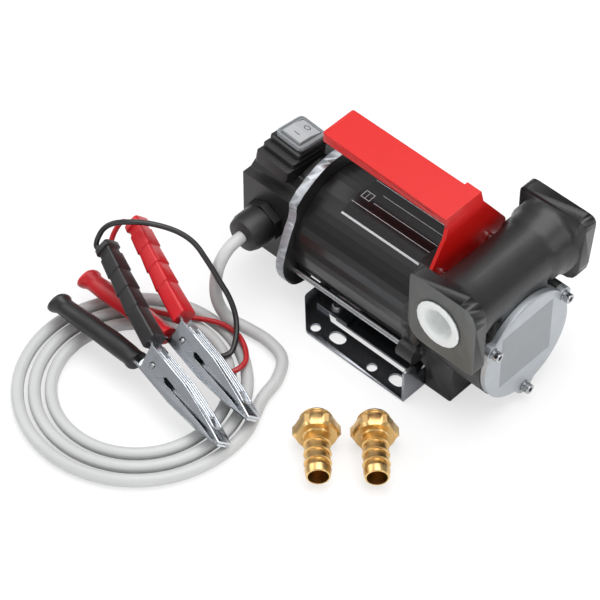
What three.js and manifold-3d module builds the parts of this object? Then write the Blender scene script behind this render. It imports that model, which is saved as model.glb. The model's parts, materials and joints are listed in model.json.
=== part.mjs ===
// Fluid transfer pump: a 12 V vane pump on a base plate, with a carry handle, a supply cable that ends in
// two battery clamps, and two loose hose tails.
// Millimetres, +Z up. X runs along the motor shaft towards the pump's end cover, Y towards the rear port.
// The origin is the centre of the base plate's underside.
import * as THREE from 'three';
import { mergeVertices } from 'three/addons/utils/BufferGeometryUtils.js';
import Module from 'manifold-3d';

const wasm = await Module();
wasm.setup();

// ---------------------------------------------------------------- driving dimensions
const GAP = 0.3;                     // clearance between touching pieces
const SHAFT_Z = 60.5;                // height of the motor shaft
const SHAFT_R = 5;

const CAN_R = 50.5;                  // motor can
const CAN_WALL = 2.5;
const CAN_LENGTH = 113;
const CAN_END = 50;                  // its end against the pump body
const BRACKET = 8;                   // thickness of the cast end bracket
const BRACKET_R = 65.5;
const ROD_R = 2.5;                   // tie rods
const ROD_Y = 49;
const ROD_Z = 37;

const HOUSING_LENGTH = 55.5;          // switch housing
const HOUSING_R = 48;
const HOUSING_WALL = 2.5;
const HOUSING_FRONT = 41;            // from the shaft to its flat front wall

const BODY_R = 48;                   // pump body
const BODY_LENGTH = 76;
const CHAMBER_R = 34;
const CHAMBER_DEPTH = 29;
const CHAMBER_DROP = 3.5;            // the chamber sits this far below the shaft
const ROTOR_R = 29;
const VANES = 5;
const VANE_THICK = 3;
const VANE_HEIGHT = 11.2;
const COVER_R = 47.4;                // end cover
const COVER = 6;
const SCREW_CIRCLE = 47;
const SCREW_ANGLES = [30, 150, 270];

const PORT_X = 101;                  // both ports lie on one axis, along Y
const PORT_Z = 116;
const PORT_FACE = 68;                // from the middle to each port's face
const PORT_R = 12.5;                 // bore, for a 3/4 inch pipe thread
const PORT_SEAT_R = 14.3;
const FLANGE = 12;
const BARREL_R = 26;

const FOOT_Y = 42.7;                 // pump foot
const FOOT_END = 96;

const PLATE = 2;                     // base plate
const PLATE_LEFT = -61;
const PLATE_RIGHT = 69;
const PLATE_Y = 67.5;
const PLATE_CHAMFER = 27;
const PLATE_LIP = 33;

const HANDLE = 3;                    // carry handle
const HANDLE_TOP = 168;
const HANDLE_X = 68.5;               // outer face of its leg

const CABLE_R = 5;                   // supply cable
const LEAD_R = 2.2;                  // the two wires inside it

// ---------------------------------------------------------------- where the main pieces end
const CAN_START = CAN_END - CAN_LENGTH;
const BRACKET_START = CAN_START - BRACKET;
const HOUSING_START = BRACKET_START - GAP - HOUSING_LENGTH;
const BODY_START = CAN_END + GAP;
const BODY_END = BODY_START + BODY_LENGTH;
const CHAMBER_START = BODY_END - CHAMBER_DEPTH;
const COVER_START = BODY_END + GAP;
const COVER_END = COVER_START + COVER;

// ---------------------------------------------------------------- paints
const paint = (color, roughness, metalness = 0) => new THREE.MeshStandardMaterial({ color, roughness, metalness });
const blackPaint = paint('#17181a', 0.5);
const castPaint = paint('#1b1c1e', 0.7);
const blackPlastic = paint('#1c1d20', 0.45);
const greyPlastic = paint('#8b8d90', 0.5);
const whitePlastic = paint('#d8dcdd', 0.35);
const cableSheath = paint('#d6d5d2', 0.55);
const redPaint = paint('#cf1d16', 0.4);
const blackRubber = paint('#151517', 0.6);
const redRubber = paint('#c8181a', 0.45);
const castAluminium = paint('#b9bcbd', 0.45, 0.9);
const zinc = paint('#8f959a', 0.35, 0.9);
const steel = paint('#b9babc', 0.25, 1);
const brass = paint('#c9a04c', 0.3, 1);
const copper = paint('#b06a3c', 0.4, 1);
const carbon = paint('#2a2a2c', 0.8);
const ferrite = paint('#3a3a3d', 0.8);

// ---------------------------------------------------------------- solids
const turn = (degrees) => degrees * Math.PI / 180;

// A closed geometry becomes a solid: shared corners merged, collapsed faces dropped, faces turned outwards.
function solid(geometry) {
  const bare = geometry.clone();
  bare.deleteAttribute('normal');
  bare.deleteAttribute('uv');
  const merged = mergeVertices(bare, 1e-4);
  const corners = merged.attributes.position.array;
  const kept = [];
  let volume = 0;
  for (let i = 0; i < merged.index.count; i += 3) {
    const [a, b, c] = [0, 1, 2].map((k) => merged.index.array[i + k]);
    if (a === b || b === c || c === a) continue;
    kept.push(a, b, c);
    const [p, q, r] = [a, b, c].map((k) => new THREE.Vector3().fromArray(corners, 3 * k));
    volume += p.dot(q.cross(r));
  }
  if (volume < 0) kept.reverse();
  const mesh = new wasm.Mesh({
    numProp: 3,
    vertProperties: new Float32Array(corners),
    triVerts: new Uint32Array(kept),
  });
  return new wasm.Manifold(mesh);
}

function geometryOf(body) {
  const mesh = body.getMesh();
  const geometry = new THREE.BufferGeometry();
  geometry.setAttribute('position', new THREE.BufferAttribute(new Float32Array(mesh.vertProperties), 3));
  geometry.setIndex(new THREE.BufferAttribute(new Uint32Array(mesh.triVerts), 1));
  return geometry;
}

const join = (first, ...rest) => rest.reduce((body, piece) => body.add(piece), first);
const cut = (first, ...rest) => rest.reduce((body, piece) => body.subtract(piece), first);

// Turns a geometry so that its own axes lie along the named ones.
const basis = (x, y, z) => new THREE.Matrix4().makeBasis(x, y, z);
const X = new THREE.Vector3(1, 0, 0);
const Y = new THREE.Vector3(0, 1, 0);
const Z = new THREE.Vector3(0, 0, 1);
const SPUN = { x: basis(Z, X, Y), y: basis(X, Y, Z), z: basis(Y, Z, X) };
const EXTRUDED = { x: basis(Y, Z, X), y: basis(X, Z, Y), z: basis(X, Y, Z) };

function block(low, high) {
  const size = high.map((v, i) => v - low[i]);
  const geometry = new THREE.BoxGeometry(...size);
  return solid(geometry.translate(...low.map((v, i) => v + size[i] / 2)));
}

// A profile of [radius, place along the axis] turned about an axis through centre.
function turned(axis, profile, centre = [0, 0, 0], sides = 24) {
  const points = profile.map(([r, a]) => new THREE.Vector2(r, a));
  const geometry = new THREE.LatheGeometry(points, sides).applyMatrix4(SPUN[axis]);
  return solid(geometry.translate(...centre));
}

const rod = (axis, radius, from, to, centre, sides = 24) =>
  turned(axis, [[0, from], [radius, from], [radius, to], [0, to]], centre, sides);

const ring = (axis, outer, inner, from, to, centre, sides = 24) =>
  turned(axis, [[inner, from], [outer, from], [outer, to], [inner, to], [inner, from]], centre, sides);

// A flat outline pushed along an axis. Outlines are in Y,Z for x, in X,Z for y and in X,Y for z.
function slab(axis, shape, from, to) {
  const geometry = new THREE.ExtrudeGeometry(shape, { depth: to - from, bevelEnabled: false, curveSegments: 4 });
  return solid(geometry.translate(0, 0, from).applyMatrix4(EXTRUDED[axis]));
}

// An outline of [u, v, corner radius] with its corners rounded.
function outline(corners) {
  const shape = new THREE.Shape();
  corners.forEach(([u, v, r = 0], i) => {
    const here = new THREE.Vector2(u, v);
    const before = new THREE.Vector2(...corners.at(i - 1)).sub(here).setLength(r).add(here);
    const after = new THREE.Vector2(...corners[(i + 1) % corners.length]).sub(here).setLength(r).add(here);
    if (i === 0) shape.moveTo(before.x, before.y);
    else shape.lineTo(before.x, before.y);
    if (r > 0) shape.quadraticCurveTo(u, v, after.x, after.y);
  });
  shape.closePath();
  return shape;
}

const rounded = (u0, v0, u1, v1, r) => outline([[u0, v0, r], [u1, v0, r], [u1, v1, r], [u0, v1, r]]);

// A slot with round ends along a list of [x, y] points.
function slot(points, width, z0, z1) {
  const pieces = points.map(([x, y]) => rod('z', width / 2, z0, z1, [x, y, 0], 12));
  for (let i = 1; i < points.length; i += 1) {
    const [[xa, ya], [xb, yb]] = [points[i - 1], points[i]];
    const length = Math.hypot(xb - xa, yb - ya);
    const bar = new THREE.BoxGeometry(length, width, z1 - z0).rotateZ(Math.atan2(yb - ya, xb - xa));
    pieces.push(solid(bar.translate((xa + xb) / 2, (ya + yb) / 2, (z0 + z1) / 2)));
  }
  return join(...pieces);
}

// A round tube along a smooth curve through points.
function tube(points, radius, sides, steps) {
  const path = new THREE.CatmullRomCurve3(points.map((p) => new THREE.Vector3(...p)), false, 'centripetal');
  const section = new THREE.Shape();
  for (let i = 0; i < sides; i += 1) {
    const a = 2 * Math.PI * i / sides;
    section[i ? 'lineTo' : 'moveTo'](radius * Math.cos(a), radius * Math.sin(a));
  }
  section.closePath();
  return solid(new THREE.ExtrudeGeometry(section, { steps, extrudePath: path, bevelEnabled: false }));
}

const hexagon = (acrossFlats, first = 30) => {
  const r = acrossFlats / Math.sqrt(3);
  return new THREE.Shape([0, 1, 2, 3, 4, 5].map((i) => turn(first + 60 * i))
    .map((a) => new THREE.Vector2(r * Math.cos(a), r * Math.sin(a))));
};

const pump = new THREE.Group();

function add(name, body, material, parent = pump) {
  const mesh = new THREE.Mesh(geometryOf(body), material);
  mesh.name = name;
  parent.add(mesh);
  return mesh;
}

const AXIS = [0, 0, SHAFT_Z];        // the shaft line
const PORT = [PORT_X, 0, PORT_Z];    // the port line

// ---------------------------------------------------------------- base plate
const CRADLE_SCREWS = [[-31, -34], [-31, 34]];
const LIP_BOLT_Y = 35;

function basePlate() {
  const c = PLATE_CHAMFER;
  const sheet = slab('z', outline([
    [PLATE_LEFT, -PLATE_Y + c, 3], [PLATE_LEFT + c, -PLATE_Y, 3], [PLATE_RIGHT, -PLATE_Y, 1],
    [PLATE_RIGHT, PLATE_Y, 1], [PLATE_LEFT + c, PLATE_Y, 3], [PLATE_LEFT, PLATE_Y - c, 3],
  ]), 0, PLATE);
  const low = 18;
  const y = FOOT_Y + 9;
  const lip = slab('x', outline([
    [-PLATE_Y, 0], [PLATE_Y, 0], [PLATE_Y, PLATE_LIP, 3], [y + 4, PLATE_LIP, 3], [y, low, 2], [28, low, 2],
    [20, low / 2, 2], [-20, low / 2, 2], [-28, low, 2], [-y, low, 2], [-y - 4, PLATE_LIP, 3],
    [-PLATE_Y, PLATE_LIP, 3],
  ]), PLATE_RIGHT - PLATE, PLATE_RIGHT);
  const cuts = [];
  for (const side of [-1, 1]) {
    cuts.push(slot([[56, side * 44.3], [-26, side * 44.3], [-42, side * 32]], 4.6, -1, PLATE + 1));
    for (const x of [-31, 29]) cuts.push(rod('z', 4.25, -1, PLATE + 1, [x, side * 59.5, 0], 14));
    for (const x of [-11, 52]) cuts.push(slot([[x - 2, side * 55.5], [x + 2, side * 55.5]], 11, -1, PLATE + 1));
  }
  for (const [x, yHole] of CRADLE_SCREWS) cuts.push(rod('z', 2.8, -1, PLATE + 1, [x, yHole, 0], 16));
  for (const yBolt of [-LIP_BOLT_Y, LIP_BOLT_Y]) {
    cuts.push(rod('x', 3.3, PLATE_RIGHT - 5, PLATE_RIGHT + 1, [0, yBolt, 10], 16));
  }
  return cut(join(sheet, lip), ...cuts);
}

// The saddle between the plate and the underside of the can.
function motorCradle() {
  const seat = CAN_R + GAP;
  const z = PLATE + GAP;
  const rise = (y) => SHAFT_Z - Math.sqrt(seat * seat - y * y);
  const shape = new THREE.Shape();
  shape.moveTo(-42, z);
  shape.lineTo(42, z);
  shape.lineTo(42, z + 3);
  shape.lineTo(27, z + 3);
  shape.lineTo(25, rise(25));
  for (const y of [18, 9, 0, -9, -18, -25]) shape.lineTo(y, rise(y) - 0.25);
  shape.lineTo(-27, z + 3);
  shape.lineTo(-42, z + 3);
  shape.closePath();
  const holes = CRADLE_SCREWS.map(([x, y]) => rod('z', 2.8, 0, 9, [x, y, 0], 16));
  return cut(slab('x', shape, -46, -14), block([-50, -14, 0], [-10, 14, 7]), ...holes);
}

// ---------------------------------------------------------------- motor
function magnet(side) {
  const outer = CAN_R - CAN_WALL - GAP;
  const inner = outer - 8.5;
  const shape = new THREE.Shape();
  const [from, to] = side > 0 ? [turn(28), turn(152)] : [turn(208), turn(332)];
  shape.absarc(0, 0, outer, from, to, false);
  shape.absarc(0, 0, inner, to, from, true);
  shape.closePath();
  const geometry = new THREE.ExtrudeGeometry(shape, { depth: 60, bevelEnabled: false, curveSegments: 16 });
  return solid(geometry.translate(0, 0, CAN_START + 28).applyMatrix4(EXTRUDED.x).translate(...AXIS));
}

function armature() {
  const from = CAN_START + 31;
  const core = rod('x', 38, from, from + 54, AXIS, 24);
  const windings = rod('x', 30, from - 9, from + 63, AXIS, 24);
  const slots = [];
  for (let i = 0; i < 12; i += 1) {
    const opening = new THREE.BoxGeometry(60, 3, 9).translate(from + 27, 0, 36).rotateX(turn(30 * i));
    slots.push(solid(opening.translate(...AXIS)));
  }
  const bore = rod('x', SHAFT_R + GAP, from - 20, from + 80, AXIS, 24);
  return cut(join(cut(core, ...slots), windings), bore);
}

function brushHolder() {
  const from = CAN_START + GAP;
  const disc = ring('x', CAN_R - CAN_WALL - GAP, 18, from, from + 3, AXIS, 32);
  const guides = [];
  const ways = [];
  for (const side of [-1, 1]) {
    const [near, far] = side < 0 ? [-36, -19] : [19, 36];
    guides.push(block([from + 2, near, SHAFT_Z - 7], [from + 17, far, SHAFT_Z + 7]));
    ways.push(block([from + 4.4, near - 2, SHAFT_Z - 4.3], [from + 15, far + 2, SHAFT_Z + 4.3]));
  }
  return cut(join(disc, ...guides), ...ways);
}

function brush(side) {
  const from = CAN_START + GAP + 4.7;
  const [near, far] = side < 0 ? [-32, -14.4] : [14.4, 32];
  return block([from, near, SHAFT_Z - 4], [from + 10, far, SHAFT_Z + 4]);
}

// The cast bracket's rim: full at the top, necked at each shoulder, with an ear for each tie rod.
function endBracket() {
  const half = [[270, 51], [243, 52], [230, 59], [219, 64.5], [205, 65.5], [191, 64], [178, 59.5],
    [160, 57], [149, 57], [142, 60], [136, BRACKET_R - 0.5], [110, BRACKET_R]];
  const rim = [...half, [90, BRACKET_R], ...half.slice(1).reverse().map(([a, r]) => [180 - a, r])];
  const points = rim.map(([a, r]) => new THREE.Vector3(r * Math.cos(turn(a)), r * Math.sin(turn(a)), 0));
  const curve = new THREE.CatmullRomCurve3(points, true, 'centripetal');
  const shape = new THREE.Shape(curve.getPoints(60).slice(0, -1).map((p) => new THREE.Vector2(p.x, p.y)));
  const plate = slab('x', shape, BRACKET_START, CAN_START - GAP).translate([0, 0, SHAFT_Z]);
  const holes = [rod('x', 13 + GAP, BRACKET_START - 1, CAN_START + 1, AXIS, 32)];
  for (const side of [-1, 1]) {
    holes.push(rod('x', ROD_R + GAP, BRACKET_START - 1, CAN_START + 1, [0, side * ROD_Y, ROD_Z], 16));
  }
  return cut(plate, ...holes);
}

const tieRod = (side) => join(
  rod('x', ROD_R, BRACKET_START - 4, BODY_START + 12, [0, side * ROD_Y, ROD_Z], 16),
  rod('x', 4.6, BRACKET_START - 4, BRACKET_START - GAP, [0, side * ROD_Y, ROD_Z], 6),
);

// ---------------------------------------------------------------- switch housing
const SWITCH = [HOUSING_START + 26, -3, 126];      // middle of the bezel
const SWITCH_LEAN = turn(-9);                      // it leans back
const SWITCH_DIP = turn(5);                        // and down towards the motor
const BEZEL = [28, 31, 4];
const GLAND_X = HOUSING_START + 26;
const GLAND_Z = 63;
const GLAND_R = 8;

const atSwitch = (geometry) => solid(geometry.rotateX(SWITCH_LEAN).rotateY(SWITCH_DIP).translate(...SWITCH));

function housingSection(inset) {
  const r = HOUSING_R - inset;
  const front = -HOUSING_FRONT + inset;
  return (from, to) => {
    const barrel = rod('x', r, from, to, AXIS, 40);
    const flat = block([from - 1, -HOUSING_R - 1, 0], [to + 1, front, 130]);
    const box = block([from, front, 24 + inset], [to, 0, 96 - inset]);
    return join(cut(barrel, flat), box);
  };
}

function switchHousing() {
  const shell = housingSection(0)(HOUSING_START, BRACKET_START - GAP);
  const room = housingSection(HOUSING_WALL)(HOUSING_START + HOUSING_WALL, BRACKET_START + 1);
  const pedestal = atSwitch(new THREE.BoxGeometry(BEZEL[0] + 3, BEZEL[1] + 3, 22).translate(0, 0, -11 - GAP));
  const well = atSwitch(new THREE.BoxGeometry(23.6, 29.6, 40).translate(0, 0, -16));
  const entry = rod('y', GLAND_R + GAP, -HOUSING_FRONT - 1, -HOUSING_FRONT + 6, [GLAND_X, 0, GLAND_Z], 24);
  return cut(join(shell, pedestal), room, well, entry);
}

const bezel = () => atSwitch(new THREE.BoxGeometry(...BEZEL).translate(0, 0, BEZEL[2] / 2))
  .subtract(atSwitch(new THREE.BoxGeometry(19.6, 25.6, 30)));

// The rocker is a shallow V that tips about an axle across its middle.
function rocker() {
  const shape = outline([[-12, -4], [-8, -9], [8, -9], [12, -4], [12.4, 3.2], [0, 4.6], [-12.4, 3.2]]);
  const geometry = new THREE.ExtrudeGeometry(shape, { depth: 18.4, bevelEnabled: false });
  geometry.translate(0, 0, -9.2).applyMatrix4(EXTRUDED.x).rotateX(turn(-6));
  return atSwitch(geometry.translate(0, 0, 1));
}

const glandBody = () => {
  const y = -HOUSING_FRONT;
  const at = [GLAND_X, 0, GLAND_Z];
  const hex = new THREE.ExtrudeGeometry(hexagon(31), { depth: 7, bevelEnabled: false });
  const flange = solid(hex.translate(0, 0, y - GAP - 7).applyMatrix4(EXTRUDED.y).translate(...at));
  const body = join(flange, rod('y', GLAND_R, y - 13, y + 5, at, 24));
  return cut(body, rod('y', CABLE_R + GAP, y - 20, y + 10, at, 24));
};

// The dome nut closes on the cable.
const glandNut = () => turned('y', [
  [GLAND_R + GAP, -HOUSING_FRONT - 8], [16, -HOUSING_FRONT - 8], [16, -HOUSING_FRONT - 22],
  [14, -HOUSING_FRONT - 28], [CABLE_R + GAP, -HOUSING_FRONT - 29], [CABLE_R + GAP, -HOUSING_FRONT - 14],
  [GLAND_R + GAP, -HOUSING_FRONT - 14], [GLAND_R + GAP, -HOUSING_FRONT - 8],
], [GLAND_X, 0, GLAND_Z], 24);

// ---------------------------------------------------------------- pump
const screwPlace = (degrees) => [0, SCREW_CIRCLE * Math.cos(turn(degrees)),
  SHAFT_Z + SCREW_CIRCLE * Math.sin(turn(degrees))];
const BYPASS_WALL = 4;               // half the wall between the two port bores
const SPRING_END = 26;

function pumpBody() {
  const chamber = rod('x', BODY_R, BODY_START, BODY_END, AXIS, 40);
  const collar = rod('x', CAN_R + 1.5, BODY_START, BODY_START + 7, AXIS, 40);
  const step = PLATE_RIGHT + GAP;
  const foot = slab('y', outline([
    [BODY_START, 62], [BODY_START, 34], [step, 20], [step, 0], [FOOT_END, 0, 3], [FOOT_END, 62],
  ]), -FOOT_Y, FOOT_Y);
  const solids = [chamber, collar, foot];
  for (const side of [-1, 1]) {
    solids.push(rod('x', 8.5, BODY_START, BODY_START + 16, [0, side * ROD_Y, ROD_Z], 20));
    solids.push(block([BODY_START, side > 0 ? 30 : -50, ROD_Z - 6], [BODY_START + 14, side > 0 ? 50 : -30, 60]));
  }
  for (const a of SCREW_ANGLES) solids.push(rod('x', 7.2, BODY_END - 24, BODY_END, screwPlace(a), 16));
  const pad = block([BODY_START, -34, 90], [HANDLE_X - HANDLE - GAP, 34, 119]);
  const barrel = turned('y', [
    [0, -PORT_FACE + 4], [BARREL_R + 3, -PORT_FACE + 4], [BARREL_R + 3, -PORT_FACE + 20], [BARREL_R, -34],
    [BARREL_R, 30], [BARREL_R + 2.5, 34], [BARREL_R + 2.5, PORT_FACE - 24], [BARREL_R + 5, PORT_FACE - 20],
    [BARREL_R + 5, PORT_FACE - 4], [0, PORT_FACE - 4],
  ], PORT, 28);
  const neck = block([PORT_X - 22, -26, SHAFT_Z + 20], [BODY_END, 26, PORT_Z]);
  const frontFlange = slab('y', outline([
    [PORT_X - 30, PORT_Z - 33, 16], [PORT_X + 35, PORT_Z - 33, 5],
    [PORT_X + 35, PORT_Z + 34, 16], [PORT_X - 30, PORT_Z + 34, 5],
  ]), -PORT_FACE, -PORT_FACE + FLANGE);
  const rearFlange = slab('y', outline([
    [PORT_X - 30, PORT_Z - 33, 8], [PORT_X + 30, PORT_Z - 33, 16],
    [PORT_X + 35, PORT_Z + 34, 8], [PORT_X - 30, PORT_Z + 34, 8],
  ]), PORT_FACE - FLANGE, PORT_FACE);
  const casting = join(...solids, pad, barrel, neck, frontFlange, rearFlange);

  const bores = [];
  for (const side of [-1, 1]) {
    bores.push(turned('y', [
      [0, side * BYPASS_WALL], [PORT_R, side * BYPASS_WALL], [PORT_R, side * (PORT_FACE - 4)],
      [PORT_SEAT_R, side * (PORT_FACE - 4)], [PORT_SEAT_R, side * (PORT_FACE + 1)], [0, side * (PORT_FACE + 1)],
    ], PORT, 24));
    bores.push(rod('z', 8, SHAFT_Z + 20, PORT_Z, [BODY_END - 15, side * 22, 0], 14));
    bores.push(rod('x', ROD_R + GAP, BODY_START - 1, BODY_START + 12.5, [0, side * ROD_Y, ROD_Z], 12));
    bores.push(rod('x', 3 + GAP, step - 1, step + 14, [0, side * LIP_BOLT_Y, 10], 12));
    bores.push(rod('x', 2.5 + GAP, HANDLE_X - 14, HANDLE_X, [0, side * 26, 112], 12));
  }
  const cavity = [0, 0, SHAFT_Z - CHAMBER_DROP];
  bores.push(rod('y', 6, -BYPASS_WALL - 1, BYPASS_WALL + 1, PORT, 20));
  bores.push(rod('x', CHAMBER_R, CHAMBER_START, BODY_END + 1, cavity, 36));
  bores.push(rod('x', 11, CHAMBER_START - 8, CHAMBER_START + 1, AXIS, 28));
  bores.push(rod('x', SHAFT_R + 1.5, BODY_START - 1, CHAMBER_START, AXIS, 24));
  bores.push(rod('x', 16 + GAP, BODY_START - 1, BODY_START + 10, AXIS, 32));
  bores.push(ring('x', 41.2, 38.8, BODY_END - 2, BODY_END + 1, cavity, 32));
  for (const a of SCREW_ANGLES) bores.push(rod('x', 2.5 + GAP, BODY_END - 18, BODY_END + 1, screwPlace(a), 12));
  return cut(casting, ...bores);
}

const coverSeal = () => {
  const profile = [];
  for (let i = 0; i <= 6; i += 1) {
    const a = turn(60 * i);
    profile.push([40 + 0.85 * Math.cos(a), BODY_END - 0.9 + 0.85 * Math.sin(a)]);
  }
  return turned('x', profile, [0, 0, SHAFT_Z - CHAMBER_DROP], 24);
};

function endCover() {
  const disc = turned('x', [
    [0, COVER_START], [COVER_R, COVER_START], [COVER_R, COVER_END - 1.2], [COVER_R - 1.2, COVER_END], [0, COVER_END],
  ], AXIS, 48);
  const lobes = SCREW_ANGLES.map((a) => rod('x', 7.2, COVER_START, COVER_END, screwPlace(a), 16));
  const tail = slab('x', outline([[-15, 20], [-6, 9], [6, 9], [15, 20]]), COVER_START, COVER_END);
  const holes = SCREW_ANGLES.map((a) => rod('x', 2.5 + GAP, COVER_START - 1, COVER_END + 1, screwPlace(a), 12));
  const shaftEnd = rod('x', SHAFT_R + 1, COVER_START - 1, COVER_START + 3, AXIS, 24);
  return cut(join(disc, tail, ...lobes), shaftEnd, ...holes);
}

const coverScrew = (degrees) => {
  const at = screwPlace(degrees);
  const shank = rod('x', 2.5, BODY_END - 17, COVER_END + 3, at, 16);
  const washer = rod('x', 5, COVER_END + GAP, COVER_END + 1.7, at, 20);
  const head = rod('x', 4.25, COVER_END + 1.5, COVER_END + 6.7, at, 16);
  return cut(join(shank, washer, head), rod('x', 2.3, COVER_END + 3.5, COVER_END + 8, at, 6));
};

function vaneRotor() {
  const from = CHAMBER_START + GAP;
  const body = ring('x', ROTOR_R, SHAFT_R + GAP, from, BODY_END - GAP, AXIS, 40);
  const slots = [];
  for (let i = 0; i < VANES; i += 1) {
    const opening = new THREE.BoxGeometry(40, VANE_THICK + 2 * GAP, 30);
    opening.translate(from + 14, 0, ROTOR_R - VANE_HEIGHT - 0.8 + 15).rotateX(turn(360 * i / VANES));
    slots.push(solid(opening.translate(...AXIS)));
  }
  return cut(body, ...slots);
}

function vane(i) {
  const from = CHAMBER_START + 2 * GAP;
  const length = CHAMBER_DEPTH - 4 * GAP;
  const geometry = new THREE.BoxGeometry(length, VANE_THICK, VANE_HEIGHT);
  geometry.translate(from + length / 2, 0, ROTOR_R - GAP - VANE_HEIGHT / 2).rotateX(turn(360 * i / VANES));
  return solid(geometry.translate(...AXIS));
}

const bypassPoppet = () => turned('y', [
  [0, BYPASS_WALL + GAP], [8.5, BYPASS_WALL + GAP], [8.5, BYPASS_WALL + 3], [2, BYPASS_WALL + 3],
  [2, SPRING_END + 6], [0, SPRING_END + 6],
], PORT, 20);

function bypassSpring() {
  const points = [];
  const from = BYPASS_WALL + 4.2;
  const coils = 5;
  for (let i = 0; i <= 10 * coils; i += 1) {
    const a = turn(36 * i);
    const y = from + (SPRING_END - 1.2 - from) * i / (10 * coils);
    points.push([PORT_X + 5.5 * Math.cos(a), y, PORT_Z + 5.5 * Math.sin(a)]);
  }
  return tube(points, 0.7, 4, 40);
}

const bypassRetainer = () => {
  const disc = ring('y', PORT_R - GAP, 2 + GAP, SPRING_END, SPRING_END + 3, PORT, 24);
  const ways = [90, 210, 330].map((a) => rod('y', 3.2, SPRING_END - 1, SPRING_END + 4,
    [PORT_X + 7.6 * Math.cos(turn(a)), 0, PORT_Z + 7.6 * Math.sin(turn(a))], 12));
  return cut(disc, ...ways);
};

// The plug's rim lies on the port face and its cup goes into the bore, open to the outside.
const portPlug = (side) => turned('y', [
  [0, PORT_FACE - 14], [PORT_R - GAP, PORT_FACE - 14], [PORT_R - GAP, PORT_FACE - 4 + GAP],
  [PORT_SEAT_R - GAP, PORT_FACE - 4 + GAP], [PORT_SEAT_R - GAP, PORT_FACE + GAP], [20.5, PORT_FACE + GAP],
  [20.5, PORT_FACE + 1.6], [19.5, PORT_FACE + 2.4], [15.2, PORT_FACE + 2.4], [12.6, PORT_FACE + 0.4],
  [12.6, PORT_FACE - 2.4], [10.4, PORT_FACE - 2.8], [10.2, PORT_FACE - 12], [0, PORT_FACE - 12],
].map(([r, y]) => [r, side * y]), PORT, 20);

// ---------------------------------------------------------------- carry handle
// A folded strip: the grip runs out over the motor, and a flared leg stands on the pump body.
function carryHandle() {
  const left = CAN_START + 1;
  const crease = HANDLE_X - 4;
  const profile = slab('y', outline([
    [left, HANDLE_TOP - HANDLE], [crease - 2, HANDLE_TOP - 6], [HANDLE_X - HANDLE, 150], [HANDLE_X - HANDLE, 103],
    [HANDLE_X, 103], [HANDLE_X, 151], [crease, HANDLE_TOP - 3], [left, HANDLE_TOP],
  ]), -60, 60);
  const grip = slab('z', outline([
    [left, -20, 2], [crease + 6, -22], [crease + 6, 15], [left, 14, 2],
  ]), 90, 180);
  const leg = slab('x', outline([
    [-36, 103, 2], [-28, 109.5], [28, 109.5], [36, 103, 2], [46, 118, 6], [18, 157], [18, 180], [-22, 180],
    [-22, 157], [-45, 118, 6],
  ]), crease - 14, HANDLE_X + 1);
  const trimmed = join(grip.intersect(block([left - 1, -60, 90], [crease - 10, 60, 180])), leg);
  const ribs = [[-20, -18], [12, 14]].map(([a, b]) => slab('y', outline([
    [left + 1, HANDLE_TOP - 9], [crease - 3, HANDLE_TOP - 12], [crease - 3, HANDLE_TOP - 5.2], [left + 1, HANDLE_TOP - 1],
  ]), a, b));
  const holes = [-26, 26].map((y) => rod('x', 2.5 + GAP, HANDLE_X - 6, HANDLE_X + 1, [0, y, 112], 16));
  return cut(join(profile.intersect(trimmed), ...ribs), ...holes);
}

const handleScrew = (side) => join(
  rod('x', 2.5, HANDLE_X - 12, HANDLE_X + 1, [0, side * 26, 112], 16),
  rod('x', 4.2, HANDLE_X + GAP, HANDLE_X + 3.4, [0, side * 26, 112], 16),
);

// ---------------------------------------------------------------- hose tails, lying loose beside the pump
const HEX_TAIL = 32;

function hoseTail() {
  const profile = [[8, 0], [12, 0], [13.2, 1.4], [13.2, 7], [12, 8], [12, 19], [10.4, 19]];
  for (let i = 0; i < 3; i += 1) profile.push([10.6, 27 + 9 * i], [9.2, 27.5 + 9 * i]);
  profile.push([10.4, 52], [9, 58], [8, 58], [8, 0]);
  const spun = turned('x', profile, [0, 0, 0], 16);
  const nut = slab('x', hexagon(HEX_TAIL, 0), 8, 19);
  return cut(join(spun, nut), rod('x', 8, -1, 60, [0, 0, 0], 16));
}

// ---------------------------------------------------------------- cable and leads
const FLOOR_Z = CABLE_R + GAP;
const COIL = { x: -89, y: -199, radius: 98, pitch: 13, from: 35, round: 1030 };

// From the gland the cable drops to the floor, then lies in three loose turns that close inwards.
function cableRoute() {
  const points = [
    [GLAND_X, -HOUSING_FRONT - 15, GLAND_Z], [GLAND_X, -HOUSING_FRONT - 31, GLAND_Z],
    [GLAND_X, -85, 60.5], [GLAND_X + 1, -96, 52], [GLAND_X + 3, -102.5, 38], [GLAND_X + 7, -105, 22],
    [GLAND_X + 17, -104, 9.5], [-66, -99, FLOOR_Z], [-46, -97.6, FLOOR_Z], [-26, -103, FLOOR_Z],
    [-14, -121, FLOOR_Z],
  ];
  const step = COIL.round / 46;
  for (let i = 0; i <= 46; i += 1) {
    const a = step * i;
    const r = COIL.radius - COIL.pitch * a / 360;
    points.push([COIL.x + r * Math.cos(turn(COIL.from - a)), COIL.y + r * Math.sin(turn(COIL.from - a)), FLOOR_Z]);
  }
  return points;
}

// ---------------------------------------------------------------- battery clamps
// Each clamp is drawn about its pivot: X towards the jaw tips, Z from the lower lever to the upper one.
const LEVER = [[-98, 28.5], [-40, 14.5], [-16, 10.2], [-12, 9.5], [30, 9.5], [62, 6], [85, 1.4]];
const [LEVER_END, LEVER_RISE] = LEVER[0];
const [JAW_TIP] = LEVER.at(-1);
const GRIP_END = -16;
const CHEEK_START = -12;
const HANDLE_BLADE = 7;              // half the width of the blade inside a grip

function leverShape(sign, half, from, to) {
  const line = LEVER.filter(([x]) => x >= from && x <= to);
  const above = line.map(([x, z]) => [x, sign * z + half]);
  const below = line.map(([x, z]) => [x, sign * z - half]).reverse();
  return outline([...below, ...above]);
}

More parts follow.
